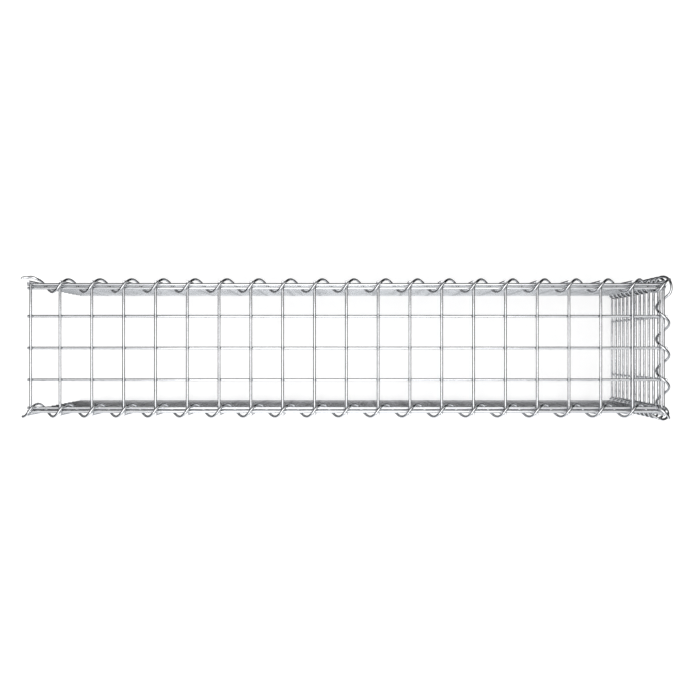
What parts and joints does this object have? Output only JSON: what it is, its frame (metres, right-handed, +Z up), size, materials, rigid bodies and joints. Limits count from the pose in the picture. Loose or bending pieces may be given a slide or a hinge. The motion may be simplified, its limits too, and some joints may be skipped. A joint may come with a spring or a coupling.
{
  "type": "gabion wall basket",
  "caption": "Empty welded wire basket for a gabion wall: two long walls, one end wall and a lid, laced with spiral wires, open at the bottom and at one end.",
  "frame": {"origin": "on the ground under the middle of the basket", "axes": "+X along the wall towards the closed end, +Y from the front wall to the rear wall, +Z up"},
  "size_m": [1.0268, 0.2309, 0.6192],
  "materials": {
    "mesh_wire": "galvanised, bright",
    "spiral_wire": "galvanised, bright"
  },
  "bodies": {
    "root": {"lid": "mesh_wire", "front_wall": "mesh_wire", "rear_wall": "mesh_wire", "end_wall": "mesh_wire", "lid_front_spiral": "spiral_wire", "lid_rear_spiral": "spiral_wire", "lid_end_spiral": "spiral_wire", "front_corner_spiral": "spiral_wire", "rear_corner_spiral": "spiral_wire"}
  },
  "joints": []
}
